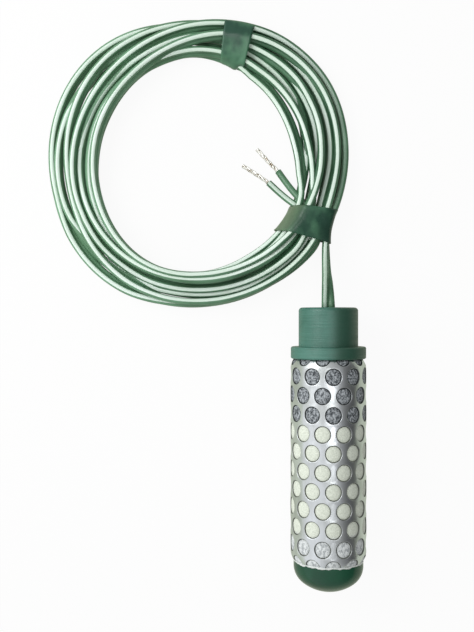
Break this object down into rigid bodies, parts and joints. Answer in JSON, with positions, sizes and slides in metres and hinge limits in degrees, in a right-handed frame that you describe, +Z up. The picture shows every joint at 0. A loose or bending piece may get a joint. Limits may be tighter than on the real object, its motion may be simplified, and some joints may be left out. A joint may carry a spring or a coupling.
{
  "type": "soil moisture sensor",
  "caption": "Granular-matrix soil moisture probe: perforated stainless shell between two plastic end caps, with its taped coil of twin lead and split stripped ends.",
  "frame": {"origin": "on the surface that the probe lies on, under the middle of the probe's length and width", "axes": "+Y along the probe towards its cable end, +Z up from the surface, coil lies on the surface beyond the cable end towards -X"},
  "size_m": [0.0948, 0.1703, 0.0222],
  "materials": {
    "green_abs": "moulded ABS, satin gloss",
    "dark_green_abs": "moulded ABS, glossy",
    "stainless_shell": "perforated stainless tube, bright rolled finish",
    "membrane": "non-woven polyester sleeve, damp and dusty in places",
    "granular_fill": "packed fine silica",
    "gypsum": "pressed gypsum",
    "holder_plastic": "moulded insulator",
    "electrode_steel": "stainless",
    "green_vinyl": "soft PVC insulation",
    "striped_vinyl": "soft PVC insulation, green with a pale stripe",
    "tinned_copper": "tinned stranded copper",
    "epoxy": "cast potting resin",
    "green_tape": "vinyl tape"
  },
  "bodies": {
    "root": {"top_cap": "green_abs", "bottom_cap": "dark_green_abs", "perforated_shell": "stainless_shell", "membrane_sleeve": "membrane", "granular_fill": "granular_fill", "gypsum_wafer": "gypsum", "electrode_holder": "holder_plastic", "inner_electrode": "electrode_steel", "outer_electrode": "electrode_steel", "inner_lead_plain": "green_vinyl", "inner_lead_striped": "striped_vinyl", "crimp_plain": "tinned_copper", "crimp_striped": "tinned_copper", "potting_plug": "epoxy", "lead_cable": "striped_vinyl", "cable_coil": "striped_vinyl", "upper_tape_band": "green_tape", "lower_tape_band": "green_tape", "leg_plain": "green_vinyl", "leg_striped": "striped_vinyl", "tinned_end_plain": "tinned_copper", "tinned_end_striped": "tinned_copper"}
  },
  "joints": []
}
